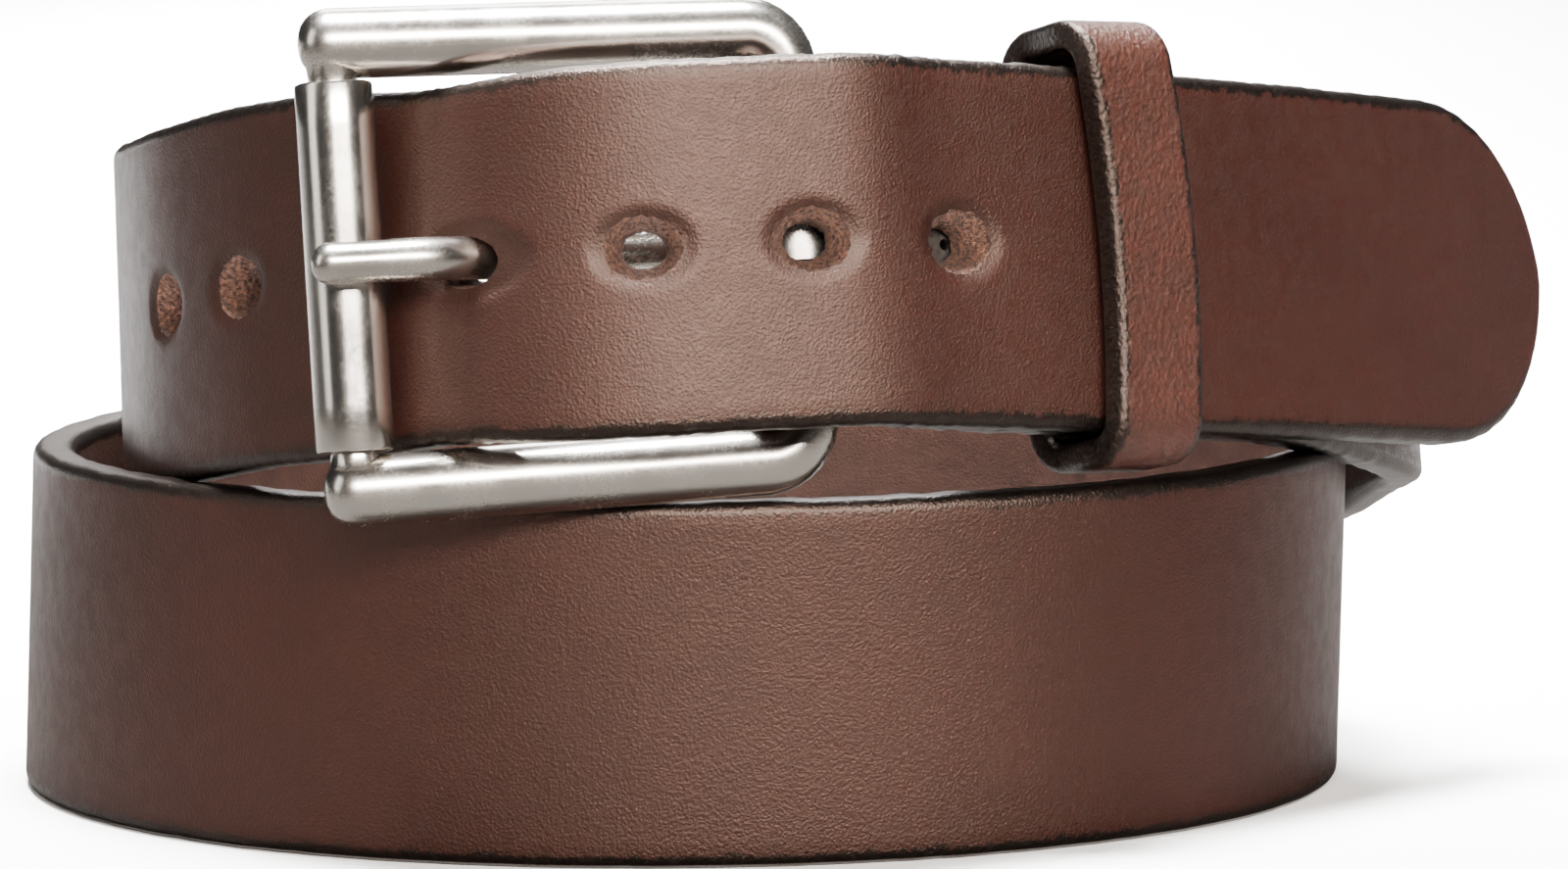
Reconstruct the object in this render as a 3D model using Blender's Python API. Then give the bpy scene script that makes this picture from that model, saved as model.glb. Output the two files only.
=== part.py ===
"""Leather belt with a roller buckle, buckled and coiled in two turns, standing on its edge.

The strap is one long piece of leather. Its route runs from the rounded tail, round the
coil twice, back to the front under the tail, and folds round the heel bar of the buckle.
Everything is in metres, +Z up, the front of the belt faces -Y.
"""

import math

import bmesh
import bpy
import numpy as np
from mathutils import Matrix, Vector

MM = 0.001

# ------------------------------------------------------------------ driving dimensions
STRAP_WIDTH = 37.6 * MM
STRAP_THICK = 4.7 * MM
STRAP_BEVEL = 1.1 * MM
TIP_LENGTH = 20.0 * MM
GAP = 0.3 * MM

COIL_CENTRE = (-5.85 * MM, 1.6 * MM)
COIL_RADIUS = 69.7 * MM
COIL_SPREAD = 7.0 * MM
COIL_SWELL = 0.5 * MM
COIL_FLARE = -0.8 * MM
FRONT_INSET = 1.1 * MM
COIL_RISE = 43.3 * MM
COIL_SAG = 6.85 * MM
COIL_SOFT = 1.0 * MM
SHOULDER_RISE = 3.2 * MM
SHOULDER_AT = 97.0
SHOULDER_SPREAD = 22.0

HOLE_LENGTH = 8.4 * MM
HOLE_HEIGHT = 6.4 * MM
HOLE_PITCH = 16.8 * MM
HOLE_COUNT = 7
PRONG_HOLE = 3
PRONG_HOLE_LENGTH = 10.0 * MM
PRONG_HOLE_AT = 13.4 * MM

FOLD_THICK = 3.2 * MM
FOLD_WIDTH = 35.0 * MM
SKIVE_FROM = 24.0 * MM
SKIVE_TO = 10.0 * MM
SLOT_WIDTH = 7.0 * MM

ROLLER_AT = (-40.2 * MM, -72.0 * MM, 62.05 * MM)
BUCKLE_YAW = math.radians(7.0)
BUCKLE_SLOPE = math.radians(1.8)
BUCKLE_LEAN = math.radians(8.6)
BUCKLE_REACH = 46.2 * MM
ARM_RADIUS = 3.6 * MM
ARM_AT_ROLLER = 22.65 * MM
ARM_AT_HEEL = 21.8 * MM
STRAP_DROP = 0.5 * MM
PINCH = 0.8 * MM
PINCH_AT = 10.5 * MM
PINCH_SPREAD = 9.0 * MM
HEEL_RADIUS = 3.2 * MM
FRONT_BAR_RADIUS = 2.5 * MM

ROLLER_RADIUS = 3.95 * MM
ROLLER_BORE = 2.8 * MM
ROLLER_LENGTH = 37.4 * MM

PRONG_RADIUS = 2.15 * MM
PRONG_RING_OUT = 5.5 * MM
PRONG_RING_IN = 3.5 * MM
PRONG_RING_WIDTH = 5.0 * MM
# The prong's middle line in the buckle's own axes (mm), tip first.
PRONG_ROUTE = (
    (-0.5, 6.25),
    (3.0, 6.45),
    (7.5, 6.1),
    (11.0, 4.4),
    (15.5, 1.2),
    (20.0, -0.3),
    (27.0, -0.6),
    (42.3, 0.0),
)
PRONG_STEP = 2.2 * MM

KEEPER_WIDTH = 12.0 * MM
KEEPER_THICK = 3.2 * MM
KEEPER_CLEAR = 0.45 * MM
KEEPER_AT = 37.8 * MM
KEEPER_TILT = math.radians(3.0)
KEEPER_TOP = 20.8 * MM
KEEPER_BOTTOM = 19.45 * MM
KEEPER_CORNER = 1.9 * MM
KEEPER_BEVEL = 0.7 * MM

# The buckle end narrows, folds round the heel bar and runs back inside; its end is rounded.
NARROW_FROM = 16.0 * MM
NARROW_OVER = 8.0 * MM
FOLD_TURN = 202.5
FOLD_STEP = 22.5
FOLD_BEVEL = 0.9 * MM
FOLD_BACK_FROM = 9.0 * MM
FOLD_BACK_LENGTH = 71.0 * MM
FOLD_END_ROUND = 6.0 * MM
FOLD_END_NARROW = 4.0 * MM
SLOT_ALONG = (-9.0 * MM, 8.0 * MM)
SLOT_DEPTH = (-7.6 * MM, 7.6 * MM)
SCREWS_AT = (15.8 * MM, 63.5 * MM)
PRESSED = (2.0 * MM, 12.0 * MM)
KEEPER_ROOM = ((19.5 * MM, 30.0 * MM), (47.0 * MM, 58.0 * MM))
POST_RADIUS = 2.4 * MM
POST_HEAD_RADIUS = 4.2 * MM
POST_HEAD_THICK = 1.1 * MM
POST_DIMPLE_RADIUS = 0.6 * MM
POST_DIMPLE_DEPTH = 0.5 * MM
SCREW_HEAD_THICK = 1.4 * MM
SCREW_RADIUS = 1.5 * MM
SCREW_LENGTH = 5.0 * MM
HEAD_BEVEL = 0.4 * MM
DRIVER_SLOT_HALF = 0.5 * MM
DRIVER_SLOT_DEPTH = 0.7 * MM

# Hand-set stations of the strap on both sides of the buckle, from the tip leftwards:
# x and y of its middle line, height of its lower edge (mm), and lean back (degrees).
TAIL_STATIONS = (
    (88.0, -0.6, 35.1, 10.5),
    (73.0, -19.5, 37.8, 10.5),
    (60.4, -34.0, 39.9, 10.2),
    (46.9, -47.5, 41.8, 9.8),
    (33.0, -59.2, 43.6, 9.4),
    (20.0, -68.5, 45.0, 9.0),
)
LEFT_STATIONS = (
    (-44.2, -58.2, 41.1, 5.5),
    (-50.6, -50.2, 39.7, 4.0),
    (-58.6, -34.6, 36.6, 1.0),
)
# Inside the buckle the middle line is set in the buckle's own axes (mm), heel end first.
BUCKLE_STATIONS = (
    (52.0, 8.4),
    (46.2, 9.5),
    (38.0, 10.4),
    (30.0, 10.3),
    (22.0, 8.2),
    (15.0, 4.2),
    (9.5, -0.7),
    (4.6, -6.1),
)
# The layer that runs back from the fold follows the tail at this drop below it (mm).
NECK_FROM = 2
NECK_DROP = (0.4, 0.8)

STRAP_STEP = 3.4 * MM
COIL_STEP = 15.0


# ------------------------------------------------------------------ small helpers
def material(name, colour, roughness, metallic):
    mat = bpy.data.materials.new(name)
    mat.use_nodes = True
    shader = mat.node_tree.nodes["Principled BSDF"]
    shader.inputs["Base Color"].default_value = (*colour, 1.0)
    shader.inputs["Roughness"].default_value = roughness
    shader.inputs["Metallic"].default_value = metallic
    return mat


def add_object(name, bm, mat, smooth=True):
    bmesh.ops.recalc_face_normals(bm, faces=bm.faces)
    mesh = bpy.data.meshes.new(name)
    bm.to_mesh(mesh)
    bm.free()
    if smooth:
        mesh.shade_smooth()
        mesh.set_sharp_from_angle(angle=math.radians(40))
    obj = bpy.data.objects.new(name, mesh)
    bpy.context.collection.objects.link(obj)
    if mat:
        obj.data.materials.append(mat)
    return obj


def empty(name, location, parent=None):
    obj = bpy.data.objects.new(name, None)
    obj.location = location
    obj.empty_display_size = 0.01
    bpy.context.collection.objects.link(obj)
    if parent:
        obj.parent = parent
    return obj


def place_at(obj, origin):
    """Moves an object's own origin to a point without moving its surface."""
    obj.data.transform(Matrix.Translation(-Vector(origin)))
    obj.location = origin


def boolean(obj, tool, operation):
    tool.hide_render = True
    tool.display_type = "WIRE"
    mod = obj.modifiers.new(operation.lower(), "BOOLEAN")
    mod.object = tool
    mod.operation = operation
    mod.solver = "EXACT"


def through(points, step):
    """A smooth curve through hand-set points, resampled at a steady step of its first three values."""
    pts = np.asarray(points, float)
    ends = np.vstack([2 * pts[0] - pts[1], pts, 2 * pts[-1] - pts[-2]])
    out = []
    for i in range(1, len(ends) - 2):
        a, b, c, d = ends[i - 1 : i + 3]
        k1 = np.linalg.norm((b - a)[:3]) ** 0.5
        k2 = np.linalg.norm((c - b)[:3]) ** 0.5
        k3 = np.linalg.norm((d - c)[:3]) ** 0.5
        m1 = (c - b) / k2 - (c - a) / (k1 + k2) + (b - a) / k1
        m2 = (c - b) / k2 - (d - b) / (k2 + k3) + (d - c) / k3
        m1, m2 = m1 * k2, m2 * k2
        for u in np.linspace(0, 1, 24, endpoint=False):
            h = (2 * u**3 - 3 * u**2 + 1, u**3 - 2 * u**2 + u, 3 * u**2 - 2 * u**3, u**3 - u**2)
            out.append(h[0] * b + h[1] * m1 + h[2] * c + h[3] * m2)
    out.append(pts[-1])
    dense = np.array(out)
    run = np.concatenate([[0], np.cumsum(np.linalg.norm(np.diff(dense[:, :3], axis=0), axis=1))])
    count = max(2, round(run[-1] / step) + 1)
    want = np.linspace(0, run[-1], count)
    return np.stack([np.interp(want, run, dense[:, k]) for k in range(dense.shape[1])], axis=1)


def unit(v):
    return v / np.linalg.norm(v, axis=-1, keepdims=True)


def smoothstep(x):
    x = np.clip(x, 0, 1)
    return x * x * (3 - 2 * x)


# ------------------------------------------------------------------ buckle axes
def buckle_axes():
    """U runs from the roller to the heel bar, V faces out, W is up along the bars."""
    ahead = np.array([math.cos(BUCKLE_YAW), math.sin(BUCKLE_YAW), 0.0])
    front = np.array([math.sin(BUCKLE_YAW), -math.cos(BUCKLE_YAW), 0.0])
    rise = np.array([0.0, 0.0, 1.0])
    u = ahead * math.cos(BUCKLE_SLOPE) + rise * math.sin(BUCKLE_SLOPE)
    v = front * math.cos(BUCKLE_LEAN) + rise * math.sin(BUCKLE_LEAN)
    w = unit(np.cross(v, u))
    return u, np.cross(u, w), w


U_AXIS, V_AXIS, W_AXIS = buckle_axes()
ROLLER = np.array(ROLLER_AT)
HEEL = ROLLER + U_AXIS * BUCKLE_REACH


def buckle_point(u, v, w=0.0):
    """A point in the buckle's own axes, measured from the roller's axis."""
    return ROLLER + U_AXIS * u + V_AXIS * v + W_AXIS * w


# ------------------------------------------------------------------ strap route
def bump(degrees, centre, spread):
    return math.exp(-(((degrees - centre) / spread) ** 2))


def coil_station(degrees):
    """Middle line of the free coil: x, y, lower edge and lean; the angle runs left from the front."""
    theta = math.radians(degrees)
    half = theta / 2
    radius = COIL_RADIUS - COIL_SPREAD * math.sin(half) - COIL_SWELL * math.cos(half)
    radius += COIL_FLARE * bump(degrees, 630.0, 35.0) - FRONT_INSET * bump(degrees, 360.0, 45.0)
    lift = COIL_RISE / 2 * (1 + math.cos(half)) - COIL_SAG * (1 - math.cos(theta))
    lift += SHOULDER_RISE * bump(degrees, SHOULDER_AT, SHOULDER_SPREAD)
    lift += SHOULDER_RISE * bump(degrees, 720.0 - SHOULDER_AT, SHOULDER_SPREAD)
    lift = lift * lift / (lift + COIL_SOFT) if lift > 0 else 0.0
    lean = math.radians(1.5) * (1 + math.cos(half)) / 2 - math.radians(3.1) * math.sin(half)
    return [-radius * math.sin(theta), -radius * math.cos(theta), lift, lean]


def hand_stations(table):
    return [[x * MM, y * MM, z * MM, math.radians(lean)] for x, y, z, lean in table]


def buckle_stations():
    """The strap where it weaves through the buckle, its width kept parallel to the bars."""
    line = np.array(BUCKLE_STATIONS) * MM
    turns = np.gradient(line, axis=0)
    out = []
    for (u, v), turn in zip(line, turns):
        middle = buckle_point(u, v, -STRAP_DROP)
        facing = abs(turn[0]) / np.linalg.norm(turn)
        lean = math.asin(math.sin(BUCKLE_LEAN) * facing)
        out.append([middle[0], middle[1], middle[2] - STRAP_WIDTH / 2 * W_AXIS[2], lean])
    return out


def neck_stations():
    """The layer behind the tail, one strap thickness inside it, from the coil to the fold."""
    tail = np.array(hand_stations(TAIL_STATIONS) + buckle_stations())
    out = []
    last = len(TAIL_STATIONS)
    for i in range(NECK_FROM, last + 1):
        run = unit(tail[i - 1, :2] - tail[i + 1, :2])
        inward = np.array([-run[1], run[0]])
        share = (last - i) / (last - NECK_FROM)
        drop = (NECK_DROP[0] + (NECK_DROP[1] - NECK_DROP[0]) * share) * MM
        xy = tail[i, :2] + inward * (STRAP_THICK + GAP)
        out.append([xy[0], xy[1], tail[i, 2] - drop, tail[i, 3]])
    return out


def outer_route():
    """Stations (x, y, lower edge, lean) from the tip of the tail to the start of the fold."""
    tail = hand_stations(TAIL_STATIONS) + buckle_stations() + hand_stations(LEFT_STATIONS)
    coil = [coil_station(degrees) for degrees in np.arange(75.0, 631.0, COIL_STEP)]
    return through(tail + coil + neck_stations() + [fold_front()], STRAP_STEP)


def fold_front():
    """Where the outer layer reaches the heel bar, in route form."""
    point = HEEL + V_AXIS * (HEEL_RADIUS + GAP + FOLD_THICK - STRAP_THICK / 2)
    low = point[2] - STRAP_WIDTH / 2 * math.cos(BUCKLE_LEAN)
    return [point[0], point[1], low, BUCKLE_LEAN]


def frames(route):
    """Middle points, run directions, outward normals and width directions of a route."""
    xy = route[:, :2]
    flat = unit(np.gradient(xy, axis=0))
    slope = np.gradient(route[:, 2]) / np.linalg.norm(np.gradient(xy, axis=0), axis=1)
    run = unit(np.column_stack([flat, slope]))
    out = np.column_stack([-flat[:, 1], flat[:, 0], np.zeros(len(flat))])
    upright = unit(np.array([0.0, 0.0, 1.0]) - run * run[:, 2:3])
    lean = route[:, 3:4]
    width = upright * np.cos(lean) - out * np.sin(lean)
    normal = unit(np.cross(width, run))
    normal *= np.sign((normal * out).sum(axis=1, keepdims=True))
    middle = np.column_stack([xy, route[:, 2] + STRAP_WIDTH / 2 * width[:, 2]])
    return middle, run, normal, width


def arc_length(points):
    return np.concatenate([[0], np.cumsum(np.linalg.norm(np.diff(points, axis=0), axis=1))])


class Strap:
    """The middle line of the whole strap, from the tip to the fold, with its directions."""

    def __init__(self):
        self.middle, self.run, self.normal, self.width = frames(outer_route())
        self.arc = arc_length(self.middle)
        self.total = self.arc[-1]

    def at(self, distance):
        """Middle, run, normal and width at a distance from the tip."""
        out = []
        for table in (self.middle, self.run, self.normal, self.width):
            out.append(np.array([np.interp(distance, self.arc, table[:, k]) for k in range(3)]))
        return out[0], unit(out[1]), unit(out[2]), unit(out[3])

    def before_fold(self, distance):
        """The same, measured back from the heel bar along the outer layer."""
        return self.at(self.total - distance)


def layer_gap(distance):
    """Distance between the outer layer's back and the folded layer's front."""
    at_bar = 2 * (HEEL_RADIUS + GAP)
    pressed = smoothstep((distance - PRESSED[0]) / (PRESSED[1] - PRESSED[0]))
    (in_from, in_to), (out_from, out_to) = KEEPER_ROOM
    raise_in = smoothstep((distance - in_from) / (in_to - in_from))
    raise_out = smoothstep((distance - out_from) / (out_to - out_from))
    keeper_room = KEEPER_THICK + 2 * KEEPER_CLEAR - GAP
    return at_bar + (GAP - at_bar) * pressed + keeper_room * (raise_in - raise_out)


def section(middle, normal, width, half, outer, inner, bevel):
    """Eight corners of a bevelled strip section."""
    low, high = -half, half
    corners = (
        (low + bevel, outer),
        (high - bevel, outer),
        (high, outer - bevel),
        (high, inner + bevel),
        (high - bevel, inner),
        (low + bevel, inner),
        (low, inner + bevel),
        (low, outer - bevel),
    )
    return [middle + width * a + normal * b for a, b in corners]


def outer_sections(strap):
    """Sections from the tip to the heel bar, the tip rounded and the end skived and narrowed."""
    rings = []
    half_full = STRAP_WIDTH / 2
    crossing = nearest_distance(strap, buckle_point(PINCH_AT, 0.0))
    tip = [TIP_LENGTH * (1 - math.cos(a)) for a in np.linspace(math.radians(11), math.pi / 2, 10)]
    rest = [d for d in strap.arc if TIP_LENGTH + STRAP_STEP / 2 < d < strap.total - 2 * MM]
    for distance in tip + rest:
        middle, _, normal, width = strap.at(distance)
        half = half_full
        if distance < TIP_LENGTH:
            half = half_full * math.sqrt(1 - (1 - distance / TIP_LENGTH) ** 2)
        half -= PINCH * math.exp(-(((distance - crossing) / PINCH_SPREAD) ** 2))
        left = strap.total - distance
        skive = smoothstep((SKIVE_FROM - left) / (SKIVE_FROM - SKIVE_TO))
        thick = STRAP_THICK + (FOLD_THICK - STRAP_THICK) * skive
        narrow = smoothstep((NARROW_FROM - left) / NARROW_OVER)
        half += (FOLD_WIDTH - STRAP_WIDTH) / 2 * narrow
        outer = STRAP_THICK / 2
        bevel = min(STRAP_BEVEL, 0.3 * thick, half * 0.45)
        rings.append(section(middle, normal, width, half, outer, outer - thick, bevel))
    return rings


def fold_sections():
    """Sections round the heel bar."""
    rings = []
    mid = HEEL_RADIUS + GAP + FOLD_THICK / 2
    for angle in np.radians(np.arange(0.0, FOLD_TURN + 1.0, FOLD_STEP)):
        outward = V_AXIS * math.cos(angle) - U_AXIS * math.sin(angle)
        half_t = FOLD_THICK / 2
        centre = HEEL + outward * mid
        rings.append(section(centre, outward, W_AXIS, FOLD_WIDTH / 2, half_t, -half_t, FOLD_BEVEL))
    return rings


def fold_back_sections(strap):
    """Sections of the folded end, which lies behind the outer layer and over the keeper."""
    rings = []
    half_t = FOLD_THICK / 2
    for distance in np.arange(FOLD_BACK_FROM, FOLD_BACK_LENGTH, STRAP_STEP * 0.9):
        middle, run, normal, width = strap.before_fold(distance)
        skive = smoothstep((SKIVE_FROM - distance) / (SKIVE_FROM - SKIVE_TO))
        thick = STRAP_THICK + (FOLD_THICK - STRAP_THICK) * skive
        back = STRAP_THICK / 2 - thick
        offset = back - layer_gap(distance) - half_t
        slope = (layer_gap(distance + 0.5 * MM) - layer_gap(distance - 0.5 * MM)) / (1 * MM)
        facing = unit(-normal + run * slope)
        half = FOLD_WIDTH / 2
        end = FOLD_BACK_LENGTH - distance
        if end < FOLD_END_ROUND:
            half -= FOLD_END_NARROW * (1 - end / FOLD_END_ROUND) ** 2
        centre = middle + normal * offset
        rings.append(section(centre, facing, width, half, half_t, -half_t, FOLD_BEVEL))
    return rings


def loft(rings, closed=False):
    """A closed skin over rings that all have the same number of corners."""
    bm = bmesh.new()
    levels = [[bm.verts.new(p) for p in ring] for ring in rings]
    count = len(levels[0])
    pairs = list(zip(levels, levels[1:]))
    if closed:
        pairs.append((levels[-1], levels[0]))
    for a, b in pairs:
        for i in range(count):
            j = (i + 1) % count
            bm.faces.new((a[i], a[j], b[j], b[i]))
    if not closed:
        bm.faces.new(levels[0][::-1])
        bm.faces.new(levels[-1])
    return bm


def hole_places(strap):
    """Middle, run, normal and width at each adjustment hole, hole 0 nearest the tip."""
    used = nearest_distance(strap, buckle_point(PRONG_HOLE_AT, 4.0 * MM))
    return [strap.at(used + (i - PRONG_HOLE) * HOLE_PITCH) for i in range(HOLE_COUNT)]


def nearest_distance(strap, point):
    front = strap.arc < 0.25 * strap.total
    gaps = np.linalg.norm(strap.middle - point, axis=1)
    gaps[~front] = 1.0
    i = int(np.argmin(gaps))
    near = np.linspace(strap.arc[max(i - 1, 0)], strap.arc[i + 1], 60)
    return min(near, key=lambda d: np.linalg.norm(strap.at(d)[0] - point))


def oval_tool(bm, place, length, height, span, sides=16):
    """An oval prism across the strap, its ends at two heights along the strap's normal."""
    middle, run, normal, width = place
    ends = []
    for side in span:
        ring = []
        for k in range(sides):
            a = 2 * math.pi * (k + 0.5) / sides
            along = run * (length / 2 * math.cos(a))
            ring.append(middle + along + width * (height / 2 * math.sin(a)) + normal * side)
        ends.append([bm.verts.new(p) for p in ring])
    for i in range(sides):
        j = (i + 1) % sides
        bm.faces.new((ends[0][i], ends[0][j], ends[1][j], ends[1][i]))
    bm.faces.new(ends[0][::-1])
    bm.faces.new(ends[1])


def build_strap(strap, mat):
    rings = outer_sections(strap) + fold_sections() + fold_back_sections(strap)
    for ring in rings:
        for point in ring:
            if abs(point[2]) < 0.2 * MM:
                point[2] = 0.0
    obj = add_object("strap", loft(rings), mat)

    bm = bmesh.new()
    for i, place in enumerate(hole_places(strap)):
        length = PRONG_HOLE_LENGTH if i == PRONG_HOLE else HOLE_LENGTH
        oval_tool(bm, place, length, HOLE_HEIGHT, (-STRAP_THICK / 2 - GAP / 2, STRAP_THICK))
    boolean(obj, add_object("hole_cutter", bm, None, False), "DIFFERENCE")

    bm = bmesh.new()
    slot_place = (buckle_point(BUCKLE_REACH, 0.0), U_AXIS, V_AXIS, W_AXIS)
    slot_box(bm, slot_place, SLOT_ALONG, SLOT_WIDTH / 2, SLOT_DEPTH)
    boolean(obj, add_object("slot_cutter", bm, None, False), "DIFFERENCE")

    bm = bmesh.new()
    for distance in SCREWS_AT:
        clear = 2 * (POST_RADIUS + GAP)
        behind = STRAP_THICK / 2 + layer_gap(distance) + 2 * FOLD_THICK
        span = (-behind, STRAP_THICK / 2 + GAP / 2)
        oval_tool(bm, strap.before_fold(distance), clear, clear, span)
    boolean(obj, add_object("screw_cutter", bm, None, False), "DIFFERENCE")

    bm = bmesh.new()
    for distance in SCREWS_AT:
        clear = 2 * (POST_HEAD_RADIUS + GAP)
        span = (STRAP_THICK / 2 - POST_HEAD_THICK - GAP, STRAP_THICK / 2 + GAP / 2)
        oval_tool(bm, strap.before_fold(distance), clear, clear, span)
    boolean(obj, add_object("seat_cutter", bm, None, False), "DIFFERENCE")


def slot_box(bm, place, span_u, half_w, span_v):
    middle, u, v, w = place
    corners = []
    low, high = span_u
    for b in span_v:
        for a, c in ((low, -half_w), (high, -half_w), (high, half_w), (low, half_w)):
            corners.append(bm.verts.new(middle + u * a + w * c + v * b))
    for face in ((3, 2, 1, 0), (4, 5, 6, 7), (0, 1, 5, 4), (1, 2, 6, 5), (2, 3, 7, 6), (3, 0, 4, 7)):
        bm.faces.new([corners[k] for k in face])


# ------------------------------------------------------------------ round work
def tube(points, radii, side, sides=12, round_start=False, round_end=False):
    """A round bar swept along points that lie in one plane whose normal is side."""
    pts = [np.array(p) for p in points]
    runs = unit(np.gradient(np.array(pts), axis=0))
    rings = []

    def ring(centre, run, radius):
        across = unit(np.cross(side, run))
        out = []
        for k in range(sides):
            a = 2 * math.pi * k / sides
            out.append(centre + across * (radius * math.cos(a)) + side * (radius * math.sin(a)))
        return out

    cap = [math.radians(a) for a in (12, 35, 62)]
    if round_start:
        for a in cap:
            rings.append(ring(pts[0] - runs[0] * radii[0] * math.cos(a), runs[0], radii[0] * math.sin(a)))
    for p, r, run in zip(pts, radii, runs):
        rings.append(ring(p, run, r))
    if round_end:
        for a in reversed(cap):
            centre = pts[-1] + runs[-1] * radii[-1] * math.cos(a)
            rings.append(ring(centre, runs[-1], radii[-1] * math.sin(a)))
    return loft(rings)


def build_frame(mat):
    """Two arms with round ends, joined by the heel bar and by the thin bar inside the roller."""
    arms = []
    for sign in (1, -1):
        stations = np.linspace(0, BUCKLE_REACH, 6)
        share = stations / BUCKLE_REACH
        offset = sign * (ARM_AT_ROLLER + (ARM_AT_HEEL - ARM_AT_ROLLER) * share)
        line = [buckle_point(u, 0.0, w) for u, w in zip(stations, offset)]
        bm = tube(line, [ARM_RADIUS] * len(line), W_AXIS, 16, True, True)
        arms.append(bm)
    obj = add_object("buckle_frame", arms[0], mat)
    boolean(obj, add_object("lower_arm", arms[1], None), "UNION")
    bars = (
        ("heel_bar", BUCKLE_REACH, HEEL_RADIUS, ARM_AT_HEEL),
        ("front_bar", 0.0, FRONT_BAR_RADIUS, ARM_AT_ROLLER),
    )
    for name, u, radius, end in bars:
        line = [buckle_point(u, 0.0, w) for w in np.linspace(-end, end, 3)]
        bm = tube(line, [radius] * 3, U_AXIS, 16)
        boolean(obj, add_object(name, bm, None), "UNION")
    place_at(obj, HEEL)


def build_roller(mat):
    """A plain tube that turns on the front bar and rests on the lower arm."""
    gap_half = ARM_AT_ROLLER - ARM_RADIUS
    low = -gap_half + GAP
    rings = []
    high = low + ROLLER_LENGTH
    profile = ((ROLLER_BORE, low), (ROLLER_RADIUS, low), (ROLLER_RADIUS, high), (ROLLER_BORE, high))
    for radius, w in profile:
        centre = buckle_point(0.0, 0.0, w)
        ring = []
        for k in range(24):
            a = 2 * math.pi * k / 24
            ring.append(centre + U_AXIS * (radius * math.cos(a)) + V_AXIS * (radius * math.sin(a)))
        rings.append(ring)
    obj = add_object("roller", loft(rings, closed=True), mat)
    place_at(obj, ROLLER)


def build_prong(mat):
    """A round prong that lies on the roller, dips through the hole and curls round the heel bar."""
    line = through([list(buckle_point(u * MM, v * MM)) for u, v in PRONG_ROUTE], PRONG_STEP)
    bm = tube(list(line), [PRONG_RADIUS] * len(line), W_AXIS, 12, True, False)
    obj = add_object("prong", bm, mat)
    rings = []
    half = PRONG_RING_WIDTH / 2
    inside, outside = PRONG_RING_IN, PRONG_RING_OUT
    for radius, w in ((inside, -half), (outside, -half), (outside, half), (inside, half)):
        centre = HEEL + W_AXIS * w
        ring = []
        for k in range(20):
            a = 2 * math.pi * (k + 0.5) / 20
            ring.append(centre + U_AXIS * (radius * math.cos(a)) + V_AXIS * (radius * math.sin(a)))
        rings.append(ring)
    boolean(obj, add_object("prong_curl", loft(rings, closed=True), None), "UNION")
    place_at(obj, HEEL)


def build_keeper(strap, mat):
    """A leather loop round both layers, held between the screws by its rear band."""
    middle, straight, normal, upright = strap.before_fold(KEEPER_AT)
    run = straight * math.cos(KEEPER_TILT) - upright * math.sin(KEEPER_TILT)
    width = upright * math.cos(KEEPER_TILT) + straight * math.sin(KEEPER_TILT)
    front = STRAP_THICK / 2 + GAP + STRAP_THICK + KEEPER_CLEAR
    back = -STRAP_THICK / 2 - KEEPER_CLEAR
    top, bottom = KEEPER_TOP, -KEEPER_BOTTOM
    inner, outer = [], []
    r = KEEPER_CORNER
    corners = (
        (front - r, top - r, 0),
        (back + r, top - r, 90),
        (back + r, bottom + r, 180),
        (front - r, bottom + r, 270),
    )
    for n, w, start in corners:
        for step in range(5):
            a = math.radians(start + step * 22.5)
            c, s = math.cos(a), math.sin(a)
            inner.append((n + r * c, w + r * s))
            outer.append((n + (r + KEEPER_THICK) * c, w + (r + KEEPER_THICK) * s))
    rings = []
    half = KEEPER_WIDTH / 2
    bevel = KEEPER_BEVEL
    section_points = (
        (-half, bevel),
        (-half, KEEPER_THICK - bevel),
        (bevel - half, KEEPER_THICK),
        (half - bevel, KEEPER_THICK),
        (half, KEEPER_THICK - bevel),
        (half, bevel),
        (half - bevel, 0.0),
        (bevel - half, 0.0),
    )
    for (ni, wi), (no, wo) in zip(inner, outer):
        a = middle + normal * ni + width * wi
        b = middle + normal * no + width * wo
        across = unit(b - a)
        rings.append([a + across * depth + run * t for t, depth in section_points])
    obj = add_object("keeper", loft(rings, closed=True), mat)
    place_at(obj, middle)


def turned(profile, centre, axis, side, sides=20):
    """A turned solid: profile is (radius, height) from the bottom axis point to the top one."""
    across = np.cross(axis, side)
    bm = bmesh.new()
    rings = []
    for radius, height in profile:
        ring = []
        for k in range(sides):
            a = 2 * math.pi * k / sides
            turned_out = side * math.cos(a) + across * math.sin(a)
            ring.append(centre + axis * height + turned_out * radius)
        rings.append([bm.verts.new(p) for p in ring])
    for a, b in zip(rings, rings[1:]):
        for i in range(sides):
            j = (i + 1) % sides
            bm.faces.new((a[i], a[j], b[j], b[i]))
    bm.faces.new(rings[0][::-1])
    bm.faces.new(rings[-1])
    return bm


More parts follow.
